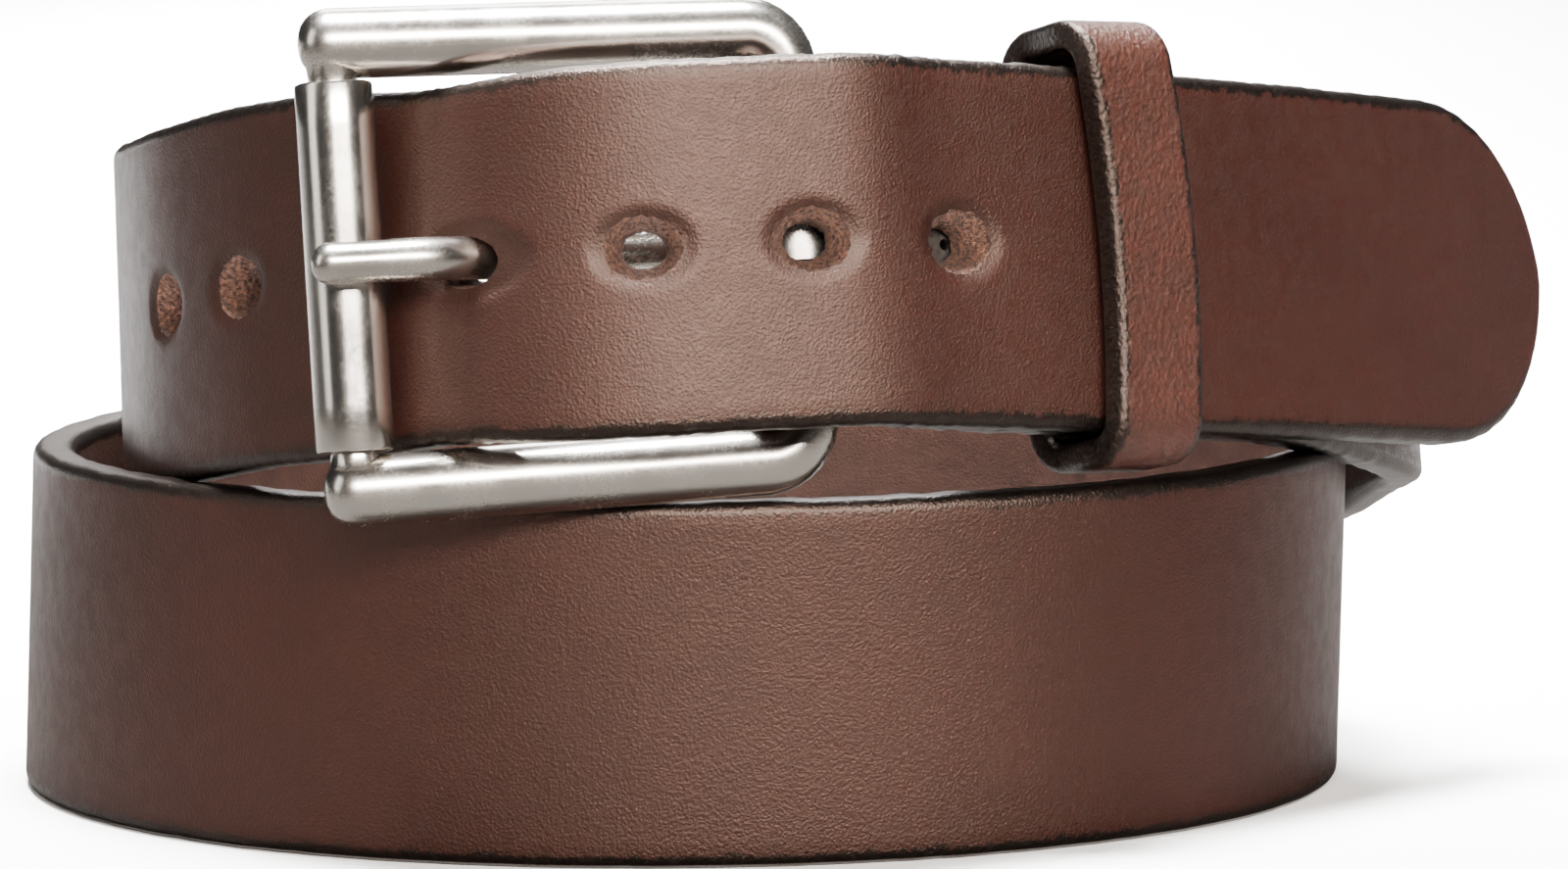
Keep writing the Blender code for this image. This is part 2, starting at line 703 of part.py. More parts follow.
def build_screws(strap, mat):
    """Two flat posts from the front, each with a slotted screw from the back of the fold."""
    for number, distance in enumerate(SCREWS_AT, 1):
        middle, run, normal, width = strap.before_fold(distance)
        seat = STRAP_THICK / 2 - POST_HEAD_THICK
        back = -STRAP_THICK / 2 - layer_gap(distance) - FOLD_THICK
        head_in = seat + POST_HEAD_THICK - 0.1 * MM
        end = back + HEAD_BEVEL
        bore = SCREW_RADIUS + GAP
        profile = (
            (bore, end),
            (POST_RADIUS, end),
            (POST_RADIUS, seat),
            (POST_HEAD_RADIUS, seat),
            (POST_HEAD_RADIUS - HEAD_BEVEL, head_in),
            (POST_DIMPLE_RADIUS, head_in),
            (POST_DIMPLE_RADIUS, head_in - POST_DIMPLE_DEPTH),
            (bore, head_in - POST_DIMPLE_DEPTH - GAP),
        )
        rings = []
        across = np.cross(normal, run)
        for radius, height in profile:
            ring = []
            for k in range(20):
                a = 2 * math.pi * k / 20
                turned_out = run * math.cos(a) + across * math.sin(a)
                ring.append(middle + normal * height + turned_out * radius)
            rings.append(ring)
        post = add_object(f"screw_post_{number}", loft(rings, closed=True), mat)
        place_at(post, middle)
        head = back - GAP
        profile = (
            (POST_HEAD_RADIUS - HEAD_BEVEL, head - SCREW_HEAD_THICK),
            (POST_HEAD_RADIUS, head - SCREW_HEAD_THICK + HEAD_BEVEL),
            (POST_HEAD_RADIUS, head),
            (SCREW_RADIUS, head),
            (SCREW_RADIUS, head + SCREW_LENGTH),
        )
        screw = add_object(f"slotted_screw_{number}", turned(profile, middle, normal, run), mat)
        bm = bmesh.new()
        slot = (middle + normal * (head - SCREW_HEAD_THICK), run, normal, width)
        reach = 1.5 * POST_HEAD_RADIUS
        slot_box(bm, slot, (-reach, reach), DRIVER_SLOT_HALF, (-SCREW_HEAD_THICK, DRIVER_SLOT_DEPTH))
        boolean(screw, add_object(f"driver_slot_cutter_{number}", bm, None, False), "DIFFERENCE")
        place_at(screw, middle)


# ------------------------------------------------------------------ assembly
def main():
    for obj in list(bpy.data.objects):
        bpy.data.objects.remove(obj, do_unlink=True)

    leather = material("chestnut_leather", (0.10, 0.028, 0.018), 0.45, 0.0)
    keeper_leather = material("keeper_leather", (0.11, 0.032, 0.022), 0.55, 0.0)
    nickel = material("satin_nickel", (0.62, 0.60, 0.57), 0.30, 1.0)
    roller_nickel = material("roller_nickel", (0.66, 0.64, 0.61), 0.24, 1.0)
    screw_nickel = material("screw_nickel", (0.58, 0.56, 0.53), 0.35, 1.0)

    strap = Strap()
    root = empty("belt", (COIL_CENTRE[0], COIL_CENTRE[1], 0.0))
    build_strap(strap, leather)
    build_keeper(strap, keeper_leather)
    build_frame(nickel)
    build_roller(roller_nickel)
    build_prong(nickel)
    build_screws(strap, screw_nickel)
    for obj in bpy.data.objects:
        if obj is not root:
            obj.parent = root


main()
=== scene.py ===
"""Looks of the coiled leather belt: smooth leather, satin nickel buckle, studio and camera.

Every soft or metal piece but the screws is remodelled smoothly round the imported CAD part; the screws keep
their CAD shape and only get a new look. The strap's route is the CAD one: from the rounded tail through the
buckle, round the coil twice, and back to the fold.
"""

import math

import bmesh
import bpy
import numpy as np
from mathutils import Matrix, Vector


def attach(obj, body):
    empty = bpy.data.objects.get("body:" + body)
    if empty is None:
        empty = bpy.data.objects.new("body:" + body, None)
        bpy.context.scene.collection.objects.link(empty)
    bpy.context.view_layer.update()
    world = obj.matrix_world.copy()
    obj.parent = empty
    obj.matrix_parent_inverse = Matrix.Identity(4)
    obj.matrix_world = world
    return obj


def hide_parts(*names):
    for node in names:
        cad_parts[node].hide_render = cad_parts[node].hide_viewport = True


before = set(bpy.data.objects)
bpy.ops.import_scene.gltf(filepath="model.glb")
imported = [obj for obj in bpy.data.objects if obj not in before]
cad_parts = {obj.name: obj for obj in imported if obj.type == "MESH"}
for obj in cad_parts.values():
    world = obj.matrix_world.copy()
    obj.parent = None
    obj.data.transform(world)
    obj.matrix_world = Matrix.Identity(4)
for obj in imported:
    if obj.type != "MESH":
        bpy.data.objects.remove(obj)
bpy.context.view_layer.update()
MM = 0.001

# ------------------------------------------------------------------ sizes shared with the CAD
STRAP_WIDTH = 37.6 * MM
STRAP_THICK = 4.7 * MM
TIP_LENGTH = 20.0 * MM
GAP = 0.3 * MM
COIL_CENTRE = np.array([-5.85 * MM, 1.6 * MM, 0.0])
COIL_RADIUS = 69.7 * MM
COIL_SPREAD = 7.0 * MM
COIL_SWELL = 0.5 * MM
COIL_FLARE = -0.8 * MM
FRONT_INSET = 1.1 * MM
COIL_RISE = 43.3 * MM
COIL_SAG = 6.85 * MM
COIL_SOFT = 1.0 * MM
SHOULDER_RISE = 3.2 * MM
SHOULDER_AT = 97.0
SHOULDER_SPREAD = 22.0
COIL_STEP = 15.0
HOLE_LENGTH = 8.4 * MM
HOLE_HEIGHT = 6.4 * MM
HOLE_PITCH = 16.8 * MM
HOLE_COUNT = 7
PRONG_HOLE = 3
PRONG_HOLE_LENGTH = 10.0 * MM
PRONG_HOLE_AT = 13.4 * MM
FOLD_THICK = 3.2 * MM
FOLD_WIDTH = 35.0 * MM
FOLD_BACK_LENGTH = 71.0 * MM
SKIVE_FROM = 24.0 * MM
SKIVE_TO = 10.0 * MM
SLOT_WIDTH = 7.0 * MM
PRESSED = (2.0 * MM, 12.0 * MM)
KEEPER_ROOM = ((19.5 * MM, 30.0 * MM), (47.0 * MM, 58.0 * MM))
SCREWS_AT = (15.8 * MM, 63.5 * MM)
SEAT_RADIUS = 4.5 * MM
SEAT_DEPTH = 1.4 * MM
POST_CLEAR = 2.7 * MM
ROLLER_AT = (-40.2 * MM, -72.0 * MM, 62.05 * MM)
BUCKLE_YAW = math.radians(7.0)
BUCKLE_SLOPE = math.radians(1.8)
BUCKLE_LEAN = math.radians(8.6)
BUCKLE_REACH = 46.2 * MM
ARM_RADIUS = 3.6 * MM
ARM_AT_ROLLER = 22.65 * MM
ARM_AT_HEEL = 21.8 * MM
STRAP_DROP = 0.5 * MM
PINCH = 0.8 * MM
PINCH_AT = 10.5 * MM
PINCH_SPREAD = 9.0 * MM
HEEL_RADIUS = 3.2 * MM
FRONT_BAR_RADIUS = 2.5 * MM
ROLLER_RADIUS = 3.95 * MM
ROLLER_BORE = 2.8 * MM
ROLLER_LENGTH = 37.4 * MM
PRONG_RADIUS = 2.15 * MM
PRONG_RING_OUT = 5.5 * MM
PRONG_RING_IN = 3.5 * MM
PRONG_RING_WIDTH = 5.0 * MM
# The prong's middle line in the buckle's own axes (mm), tip first.
PRONG_ROUTE = (
    (-1.7, 6.2),
    (3.0, 6.45),
    (7.5, 6.1),
    (11.0, 4.4),
    (15.5, 1.2),
    (20.0, -0.9),
    (27.0, -2.0),
    (36.0, -1.6),
    (42.3, 0.0),
)
KEEPER_WIDTH = 12.0 * MM
KEEPER_THICK = 3.2 * MM
KEEPER_CLEAR = 0.45 * MM
KEEPER_AT = 37.8 * MM
KEEPER_TILT = math.radians(3.0)
KEEPER_TOP = 20.8 * MM
KEEPER_BOTTOM = 19.45 * MM
KEEPER_CORNER = 1.9 * MM

TAIL_STATIONS = (
    (88.0, -0.6, 35.1, 10.5),
    (73.0, -19.5, 37.8, 10.5),
    (60.4, -34.0, 39.9, 10.2),
    (46.9, -47.5, 41.8, 9.8),
    (33.0, -59.2, 43.6, 9.4),
    (20.0, -68.5, 45.0, 9.0),
)
LEFT_STATIONS = (
    (-44.2, -58.2, 41.1, 5.5),
    (-50.6, -50.2, 39.7, 4.0),
    (-58.6, -34.6, 36.6, 1.0),
)
BUCKLE_STATIONS = (
    (52.0, 8.4),
    (46.2, 9.5),
    (38.0, 10.4),
    (30.0, 10.3),
    (22.0, 8.2),
    (15.0, 4.2),
    (9.5, -0.7),
    (4.6, -6.1),
)
NECK_FROM = 2
NECK_DROP = (0.4, 0.8)

# ------------------------------------------------------------------ sizes of the looks
EDGE_ROUND = 1.35 * MM
FINE_STEP = 0.55 * MM
NEAR_STEP = 1.1 * MM
FAR_STEP = 2.4 * MM
HOLE_LOOK = 6.8 * MM
HOLE_BORE = (
    (-2.5 * MM, 0.54, 0.0),
    (-1.2 * MM, 0.56, 0.0),
    (-0.3 * MM, 0.62, 0.0),
    (0.5 * MM, 0.74, 0.0),
    (1.2 * MM, 0.88, 0.0),
    (1.8 * MM, 0.97, 0.0),
    (3.4 * MM, 1.0, 0.0),
)
PRONG_BORE = (
    (-2.5 * MM, 0.80, -1.0 * MM),
    (-0.8 * MM, 0.78, -0.5 * MM),
    (0.6 * MM, 0.76, 0.8 * MM),
    (1.7 * MM, 0.76, 1.3 * MM),
    (3.4 * MM, 0.78, 1.8 * MM),
)
DENT_DEPTH = 0.5 * MM
NEAR_HOLE = 7.5 * MM
FOLD_ZONE = 90.0 * MM
BORDER_UNIT = 10.0 * MM
OFF_FACE = -9.0 * MM
NARROW_FROM = 16.0 * MM
NARROW_OVER = 8.0 * MM
FOLD_BACK_FROM = 9.0 * MM
FOLD_BACK_STEP = 1.5 * MM
FOLD_END_ROUND = 6.0 * MM
FOLD_END_NARROW = 4.0 * MM
SLOT_ALONG = (-9.0 * MM, 8.0 * MM)
SLOT_DEPTH = 7.6 * MM
DENT_REACH = 1.36
KEEPER_SHIFT = 1.2 * MM
KEEPER_BOW = 1.4 * MM
CORNER_BEND = 4.4 * MM

CAMERA_AT = Vector((-20.0 * MM, -850.0 * MM, 123.1 * MM))
CAMERA_YAW = math.radians(1.77)
CAMERA_PITCH = math.radians(5.764)
CAMERA_ROLL = math.radians(-0.54)
CAMERA_LENS = 177.4


# ------------------------------------------------------------------ helpers
def unit(v):
    return v / np.linalg.norm(v, axis=-1, keepdims=True)


def smoothstep(x):
    x = np.clip(x, 0, 1)
    return x * x * (3 - 2 * x)


def bump(degrees, centre, spread):
    return math.exp(-(((degrees - centre) / spread) ** 2))


def through(points, step):
    """A smooth curve through given points, resampled at a steady step of its first three values."""
    pts = np.asarray(points, float)
    ends = np.vstack([2 * pts[0] - pts[1], pts, 2 * pts[-1] - pts[-2]])
    out = []
    for i in range(1, len(ends) - 2):
        a, b, c, d = ends[i - 1 : i + 3]
        k1 = np.linalg.norm((b - a)[:3]) ** 0.5
        k2 = np.linalg.norm((c - b)[:3]) ** 0.5
        k3 = np.linalg.norm((d - c)[:3]) ** 0.5
        m1 = ((c - b) / k2 - (c - a) / (k1 + k2) + (b - a) / k1) * k2
        m2 = ((c - b) / k2 - (d - b) / (k2 + k3) + (d - c) / k3) * k2
        for u in np.linspace(0, 1, 40, endpoint=False):
            h = (2 * u**3 - 3 * u**2 + 1, u**3 - 2 * u**2 + u, 3 * u**2 - 2 * u**3, u**3 - u**2)
            out.append(h[0] * b + h[1] * m1 + h[2] * c + h[3] * m2)
    out.append(pts[-1])
    dense = np.array(out)
    run = np.concatenate([[0], np.cumsum(np.linalg.norm(np.diff(dense[:, :3], axis=0), axis=1))])
    want = np.linspace(0, run[-1], max(2, round(run[-1] / step) + 1))
    return np.stack([np.interp(want, run, dense[:, k]) for k in range(dense.shape[1])], axis=1)


def smoothed(table, rounds):
    """Evens out a table of stations along its length, its ends kept."""
    out = table.copy()
    for _ in range(rounds):
        out[1:-1] = (out[:-2] + 2 * out[1:-1] + out[2:]) / 4
    return out


# ------------------------------------------------------------------ buckle axes
def buckle_axes():
    """U runs from the roller to the heel bar, V faces out, W is up along the bars."""
    ahead = np.array([math.cos(BUCKLE_YAW), math.sin(BUCKLE_YAW), 0.0])
    front = np.array([math.sin(BUCKLE_YAW), -math.cos(BUCKLE_YAW), 0.0])
    rise = np.array([0.0, 0.0, 1.0])
    u = ahead * math.cos(BUCKLE_SLOPE) + rise * math.sin(BUCKLE_SLOPE)
    v = front * math.cos(BUCKLE_LEAN) + rise * math.sin(BUCKLE_LEAN)
    w = unit(np.cross(v, u))
    return u, np.cross(u, w), w


U_AXIS, V_AXIS, W_AXIS = buckle_axes()
ROLLER = np.array(ROLLER_AT) + COIL_CENTRE
HEEL = ROLLER + U_AXIS * BUCKLE_REACH


def buckle_point(u, v, w=0.0):
    """A point in the buckle's own axes, measured from the roller's axis."""
    return ROLLER + U_AXIS * u + V_AXIS * v + W_AXIS * w


# ------------------------------------------------------------------ strap route
def hand_stations(table):
    rows = []
    for x, y, z, lean in table:
        rows.append([x * MM + COIL_CENTRE[0], y * MM + COIL_CENTRE[1], z * MM, math.radians(lean)])
    return rows


def coil_station(degrees):
    """Middle line of the free coil: x, y, lower edge and lean; the angle runs left from the front."""
    theta = math.radians(degrees)
    half = theta / 2
    radius = COIL_RADIUS - COIL_SPREAD * math.sin(half) - COIL_SWELL * math.cos(half)
    radius += COIL_FLARE * bump(degrees, 630.0, 35.0) - FRONT_INSET * bump(degrees, 360.0, 45.0)
    lift = COIL_RISE / 2 * (1 + math.cos(half)) - COIL_SAG * (1 - math.cos(theta))
    lift += SHOULDER_RISE * bump(degrees, SHOULDER_AT, SHOULDER_SPREAD)
    lift += SHOULDER_RISE * bump(degrees, 720.0 - SHOULDER_AT, SHOULDER_SPREAD)
    lift = lift * lift / (lift + COIL_SOFT) if lift > 0 else 0.0
    lean = math.radians(1.5) * (1 + math.cos(half)) / 2 - math.radians(3.1) * math.sin(half)
    x = COIL_CENTRE[0] - radius * math.sin(theta)
    return [x, COIL_CENTRE[1] - radius * math.cos(theta), lift, lean]


def buckle_stations():
    """The strap where it weaves through the buckle, its width kept parallel to the bars."""
    line = np.array(BUCKLE_STATIONS) * MM
    out = []
    for (u, v), turn in zip(line, np.gradient(line, axis=0)):
        middle = buckle_point(u, v, -STRAP_DROP)
        lean = math.asin(math.sin(BUCKLE_LEAN) * abs(turn[0]) / np.linalg.norm(turn))
        out.append([middle[0], middle[1], middle[2] - STRAP_WIDTH / 2 * W_AXIS[2], lean])
    return out


def neck_stations():
    """The layer behind the tail, one strap thickness inside it, from the coil to the fold."""
    tail = np.array(hand_stations(TAIL_STATIONS) + buckle_stations())
    out = []
    last = len(TAIL_STATIONS)
    for i in range(NECK_FROM, last + 1):
        run = unit(tail[i - 1, :2] - tail[i + 1, :2])
        inward = np.array([-run[1], run[0]])
        share = (last - i) / (last - NECK_FROM)
        drop = (NECK_DROP[0] + (NECK_DROP[1] - NECK_DROP[0]) * share) * MM
        xy = tail[i, :2] + inward * (STRAP_THICK + GAP)
        out.append([xy[0], xy[1], tail[i, 2] - drop, tail[i, 3]])
    return out


def fold_front():
    """Where the outer layer reaches the heel bar, in route form."""
    point = HEEL + V_AXIS * (HEEL_RADIUS + GAP + FOLD_THICK - STRAP_THICK / 2)
    low = point[2] - STRAP_WIDTH / 2 * math.cos(BUCKLE_LEAN)
    return [point[0], point[1], low, BUCKLE_LEAN]


class Strap:
    """The middle line of the strap from the tip of the tail to the fold, with its directions."""

    def __init__(self):
        tail = hand_stations(TAIL_STATIONS) + buckle_stations() + hand_stations(LEFT_STATIONS)
        coil = [coil_station(degrees) for degrees in np.arange(75.0, 631.0, COIL_STEP)]
        route = smoothed(through(tail + coil + neck_stations() + [fold_front()], 0.8 * MM), 12)
        xy = route[:, :2]
        flat = unit(np.gradient(xy, axis=0))
        slope = np.gradient(route[:, 2]) / np.linalg.norm(np.gradient(xy, axis=0), axis=1)
        self.run = unit(np.column_stack([flat, slope]))
        out = np.column_stack([-flat[:, 1], flat[:, 0], np.zeros(len(flat))])
        upright = unit(np.array([0.0, 0.0, 1.0]) - self.run * self.run[:, 2:3])
        lean = route[:, 3:4]
        self.width = upright * np.cos(lean) - out * np.sin(lean)
        normal = unit(np.cross(self.width, self.run))
        self.normal = normal * np.sign((normal * out).sum(axis=1, keepdims=True))
        self.middle = np.column_stack([xy, route[:, 2] + STRAP_WIDTH / 2 * self.width[:, 2]])
        steps = np.linalg.norm(np.diff(self.middle, axis=0), axis=1)
        self.arc = np.concatenate([[0], np.cumsum(steps)])
        self.total = self.arc[-1]

    def at(self, distance):
        """Middle, run, normal and width at a distance from the tip."""
        out = []
        for table in (self.middle, self.run, self.normal, self.width):
            out.append(np.array([np.interp(distance, self.arc, table[:, k]) for k in range(3)]))
        return out[0], unit(out[1]), unit(out[2]), unit(out[3])

    def before_fold(self, distance):
        """The same, measured back from the heel bar along the outer layer."""
        return self.at(self.total - distance)

    def nearest(self, point):
        """Distance from the tip to the place on the tail nearest a point."""
        front = self.arc < 0.25 * self.total
        gaps = np.where(front, np.linalg.norm(self.middle - point, axis=1), 1.0)
        return self.arc[int(np.argmin(gaps))]


def layer_gap(distance):
    """Distance between the outer layer's back and the folded layer's front."""
    at_bar = 2 * (HEEL_RADIUS + GAP)
    pressed = smoothstep((distance - PRESSED[0]) / (PRESSED[1] - PRESSED[0]))
    (in_from, in_to), (out_from, out_to) = KEEPER_ROOM
    raise_in = smoothstep((distance - in_from) / (in_to - in_from))
    raise_out = smoothstep((distance - out_from) / (out_to - out_from))
    keeper_room = KEEPER_THICK + 2 * KEEPER_CLEAR - GAP
    return at_bar + (GAP - at_bar) * pressed + keeper_room * (raise_in - raise_out)


# ------------------------------------------------------------------ meshes
def mesh_object(name, bm, angle=38):
    bmesh.ops.recalc_face_normals(bm, faces=bm.faces)
    mesh = bpy.data.meshes.new(name)
    bm.to_mesh(mesh)
    bm.free()
    mesh.shade_smooth()
    mesh.set_sharp_from_angle(angle=math.radians(angle))
    obj = bpy.data.objects.new(name, mesh)
    bpy.context.scene.collection.objects.link(obj)
    return obj


def loft(rings, closed=False, labels=None):
    """A skin over rings of equal length. Labels are values per ring corner, kept as UV layers."""
    bm = bmesh.new()
    levels = [[bm.verts.new(p) for p in ring] for ring in rings]
    marks = {}
    layers = []
    if labels is not None:
        for name, values in labels.items():
            layers.append((bm.loops.layers.uv.new(name), values))
    for i, level in enumerate(levels):
        for j, vert in enumerate(level):
            marks[vert] = (i, j)
    count = len(levels[0])
    pairs = list(zip(levels, levels[1:]))
    if closed:
        pairs.append((levels[-1], levels[0]))
    for a, b in pairs:
        for i in range(count):
            j = (i + 1) % count
            bm.faces.new((a[i], a[j], b[j], b[i]))
    if not closed:
        bm.faces.new(levels[0][::-1])
        bm.faces.new(levels[-1])
    for face in bm.faces:
        for loop in face.loops:
            i, j = marks[loop.vert]
            for layer, values in layers:
                loop[layer].uv = values[i][j]
    return bm


def cut(obj, tools, operation="DIFFERENCE"):
    """Cuts or joins tools with obj and makes the result its own mesh."""
    for tool in tools:
        mod = obj.modifiers.new(operation, "BOOLEAN")
        mod.object = tool
        mod.operation = operation
        mod.solver = "EXACT"
        mod.material_mode = "TRANSFER"
    graph = bpy.context.evaluated_depsgraph_get()
    mesh = bpy.data.meshes.new_from_object(obj.evaluated_get(graph))
    obj.modifiers.clear()
    obj.data = mesh
    for tool in tools:
        bpy.data.objects.remove(tool)
    mesh.shade_smooth()
    mesh.set_sharp_from_angle(angle=math.radians(38))
    return obj


def strap_section(half, thick, detail):
    """Points (across, out) round the strap's section and the distance of each from both faces' borders."""
    outer = STRAP_THICK / 2
    inner = outer - thick
    r = min(EDGE_ROUND, 0.42 * thick, 0.45 * half)
    flat = half - r
    core = min(6.6 * MM, flat * 0.6)
    sides = np.linspace(core, flat, 8)[1:]
    middle = np.linspace(-core, core, detail)
    front = np.concatenate([-sides[::-1], middle, sides])
    points = [(a, outer, flat - abs(a), OFF_FACE) for a in front]
    turn = np.linspace(0, math.pi / 2, 6)[1:]
    drop = 2 * r - thick

    def corner(side, t, near_front):
        """A point on a rounded corner, with its distance from the border of each face."""
        across = side * (flat + r * math.sin(t))
        if near_front:
            return (across, outer - r * (1 - math.cos(t)), -r * t, -(math.pi / 2 - t) * r + drop)
        return (across, inner + r * (1 - math.cos(t)), -(math.pi - t) * r + drop, -r * t)

    points += [corner(1, t, True) for t in turn]
    points += [corner(1, t, False) for t in turn[::-1]]
    points += [(a, inner, OFF_FACE, flat - abs(a)) for a in np.linspace(flat, -flat, 9)]
    points += [corner(-1, t, False) for t in turn]
    points += [corner(-1, t, True) for t in turn[::-1]]
    return points


def hole_distances(strap):
    used = strap.nearest(buckle_point(PRONG_HOLE_AT, 4.0 * MM))
    return [used + (i - PRONG_HOLE) * HOLE_PITCH for i in range(HOLE_COUNT)]


def strap_distances(strap, holes):
    """Where the sections lie: close together at the holes, near the buckle, and wider elsewhere."""
    out = [TIP_LENGTH * (1 - math.cos(a)) for a in np.linspace(math.radians(5), math.pi / 2, 30)]
    while out[-1] < strap.total - 3 * MM:
        here = out[-1]
        near_hole = min(abs(here - h) for h in holes) < NEAR_HOLE
        near_buckle = here < 0.22 * strap.total or here > strap.total - FOLD_ZONE
        out.append(here + (FINE_STEP if near_hole else NEAR_STEP if near_buckle else FAR_STEP))
    return out[:-1]


def build_strap(strap, holes):
    """The whole strap as one skin, with its marks for the colour of faces, edges and rims."""
    rings, borders, rims = [], [], []
    rng = np.random.default_rng(11)
    crossing = strap.nearest(buckle_point(PINCH_AT, 0.0))

    def add_ring(place, half, thick, distance, outward=None):
        middle, _, normal, width = place
        normal = normal if outward is None else outward
        ring, border, rim = [], [], []
        for a, b, front, back in strap_section(half, thick, 25):
            q = 3.0
            if distance is not None and front > 0:
                k = int(np.argmin([abs(distance - h) for h in holes]))
                length = PRONG_HOLE_LENGTH if k == PRONG_HOLE else HOLE_LENGTH
                q = math.hypot((distance - holes[k]) / (length / 2), a / (HOLE_HEIGHT / 2))
                b -= DENT_DEPTH * float(smoothstep((DENT_REACH - q) / (DENT_REACH - 0.9)))
            ring.append(middle + width * a + normal * b)
            border.append((front / BORDER_UNIT, back / BORDER_UNIT))
            rim.append((min(q, 3.0) / 3.0, 0.0))
        rings.append(ring)
        borders.append(border)
        rims.append(rim)

    for distance in strap_distances(strap, holes):
        half = STRAP_WIDTH / 2
        if distance < TIP_LENGTH:
            half *= math.sqrt(1 - (1 - distance / TIP_LENGTH) ** 2)
        half -= PINCH * math.exp(-(((distance - crossing) / PINCH_SPREAD) ** 2))
        left = strap.total - distance
        skive = float(smoothstep((SKIVE_FROM - left) / (SKIVE_FROM - SKIVE_TO)))
        half += (FOLD_WIDTH - STRAP_WIDTH) / 2 * float(smoothstep((NARROW_FROM - left) / NARROW_OVER))
        half += 0.05 * MM * rng.standard_normal()
        add_ring(strap.at(distance), half, STRAP_THICK + (FOLD_THICK - STRAP_THICK) * skive, distance)
    shift = STRAP_THICK / 2 - FOLD_THICK / 2
    for angle in np.radians(np.arange(0.0, 203.0, 7.5)):
        outward = V_AXIS * math.cos(angle) - U_AXIS * math.sin(angle)
        centre = HEEL + outward * (HEEL_RADIUS + GAP + FOLD_THICK / 2 - shift)
        add_ring((centre, None, outward, W_AXIS), FOLD_WIDTH / 2, FOLD_THICK, None)
    for distance in np.arange(FOLD_BACK_FROM, FOLD_BACK_LENGTH, FOLD_BACK_STEP):
        middle, run, normal, width = strap.before_fold(distance)
        skive = float(smoothstep((SKIVE_FROM - distance) / (SKIVE_FROM - SKIVE_TO)))
        back = STRAP_THICK / 2 - (STRAP_THICK + (FOLD_THICK - STRAP_THICK) * skive)
        slope = (layer_gap(distance + 0.5 * MM) - layer_gap(distance - 0.5 * MM)) / (1 * MM)
        facing = unit(-normal + run * slope)
        centre = middle + normal * (back - layer_gap(distance) - FOLD_THICK / 2) - facing * shift
        half = FOLD_WIDTH / 2
        end = FOLD_BACK_LENGTH - distance
        if end < FOLD_END_ROUND:
            half -= FOLD_END_NARROW * (1 - end / FOLD_END_ROUND) ** 2
        add_ring((centre, None, facing, width), half, FOLD_THICK, None)
    for ring in rings:
        for point in ring:
            point[2] = max(point[2], 0.0)
    bm = loft(rings, labels={"border": borders, "rim": rims})
    return mesh_object("strap_leather", bm)


def oval_tool(name, place, length, height, levels, mat, rough=0.0, sides=44):
    """An oval cutter across the strap; levels are (height over the middle, size, shift along)."""
    middle, run, normal, width = place
    rng = np.random.default_rng(int(1e6 * abs(middle[0])) % 9973)
    rings = []
    for side, size, shift in levels:
        ring = []
        for k in range(sides):
            a = 2 * math.pi * k / sides
            grow = size * (1 + rough * rng.standard_normal())
            along = run * (length / 2 * math.cos(a) * grow + shift)
            across = width * (height / 2 * math.sin(a) * grow)
            ring.append(middle + along + across + normal * side)
        rings.append(ring)
    tool = mesh_object(name, loft(rings))
    tool.data.materials.append(mat)
    return tool


def slot_tool(mat):
    """The prong's slot in the fold."""
    rings = []
    for u in (BUCKLE_REACH + SLOT_ALONG[0], BUCKLE_REACH + SLOT_ALONG[1]):
        half_v, half_w = SLOT_DEPTH, SLOT_WIDTH / 2
        corners = ((half_v, half_w), (-half_v, half_w), (-half_v, -half_w), (half_v, -half_w))
        rings.append([buckle_point(u, v, w) for v, w in corners])
    tool = mesh_object("slot_tool", loft(rings))
    tool.data.materials.append(mat)
    return tool


def cut_strap(obj, strap, holes, raw, dark):
    tools = []
    for i, distance in enumerate(holes):
        length, bore, rough = HOLE_LENGTH, HOLE_BORE, 0.03
        if i == PRONG_HOLE:
            length, bore, rough = PRONG_HOLE_LENGTH, PRONG_BORE, 0.01
        tools.append(oval_tool(f"hole_{i}", strap.at(distance), length, HOLE_LOOK, bore, raw, rough))
    top = STRAP_THICK / 2 + GAP / 2
    for i, distance in enumerate(SCREWS_AT):
        place = strap.before_fold(distance)
        behind = STRAP_THICK / 2 + layer_gap(distance) + 2 * FOLD_THICK
        bore = ((-behind, 1, 0), (top, 1, 0))
        tools.append(oval_tool(f"post_{i}", place, 2 * POST_CLEAR, 2 * POST_CLEAR, bore, dark))
        seat = ((STRAP_THICK / 2 - SEAT_DEPTH, 1, 0), (top, 1, 0))
        tools.append(oval_tool(f"seat_{i}", place, 2 * SEAT_RADIUS, 2 * SEAT_RADIUS, seat, dark))
    tools.append(slot_tool(dark))
    return cut(obj, tools)


def tube(points, radii, side, sides=28, start=None, end=None):
    """A round bar along points in one plane; start and end are dome lengths or None for flat ends."""
    pts = np.array(points)
    runs = unit(np.gradient(pts, axis=0))
    rings = []

    def ring(centre, run, radius):
        across = unit(np.cross(side, run))
        turns = [2 * math.pi * k / sides for k in range(sides)]
        return [centre + across * (radius * math.cos(a)) + side * (radius * math.sin(a)) for a in turns]

    cap = [math.radians(a) for a in (6, 16, 28, 40, 52, 64, 77)]
    if start:
        for a in cap:
            centre = pts[0] - runs[0] * start * math.cos(a)
            rings.append(ring(centre, runs[0], radii[0] * math.sin(a) ** 0.8))
    for p, r, run in zip(pts, radii, runs):
        rings.append(ring(p, run, r))
    if end:
        for a in reversed(cap):
            centre = pts[-1] + runs[-1] * end * math.cos(a)
            rings.append(ring(centre, runs[-1], radii[-1] * math.sin(a) ** 0.8))
    return loft(rings)


